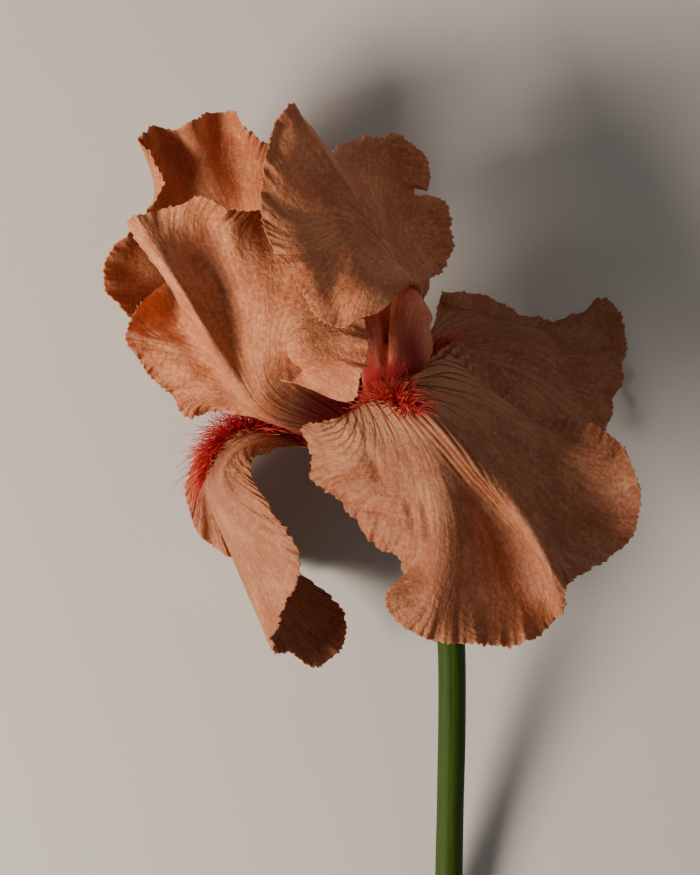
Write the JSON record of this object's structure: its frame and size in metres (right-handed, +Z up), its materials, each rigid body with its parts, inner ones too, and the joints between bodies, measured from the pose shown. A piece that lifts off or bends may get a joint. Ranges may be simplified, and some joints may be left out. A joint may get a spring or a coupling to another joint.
{
  "type": "iris flower",
  "caption": "Cut bearded iris bloom lying on its side: drooping falls with fuzzy beards, ruffled upright standards, a crested style, an ovary in papery spathes and a cut stem.",
  "frame": {"origin": "centre of the part's footprint, on the surface it lies on", "axes": "+Y from the cut end of the stem towards the top of the bloom, which is the longest extent; +Z up from the surface, towards the eye that looks down on the bloom"},
  "size_m": [0.1369, 0.2199, 0.0863],
  "materials": {
    "stem": "smooth green stem with a thin waxy bloom",
    "ovary": "ribbed pale green skin",
    "spathe": "papery green with a dry tan edge",
    "fall": "soft salmon petal, veined and slightly see-through",
    "standard": "soft salmon petal, veined and slightly see-through",
    "beard": "dense red hairs with orange tips",
    "style": "smooth salmon red petal",
    "stamen": "cream filament and mealy anther"
  },
  "bodies": {
    "root": {"stem": "stem", "ovary": "ovary", "spathe_outer": "spathe", "spathe_inner": "spathe", "fall_front": "fall", "fall_left": "fall", "fall_back": "fall", "standard_left": "standard", "standard_right": "standard", "standard_back": "standard", "beard_front": "beard", "beard_left": "beard", "beard_back": "beard", "style": "style", "stamen_front": "stamen", "stamen_left": "stamen", "stamen_back": "stamen"}
  },
  "joints": []
}
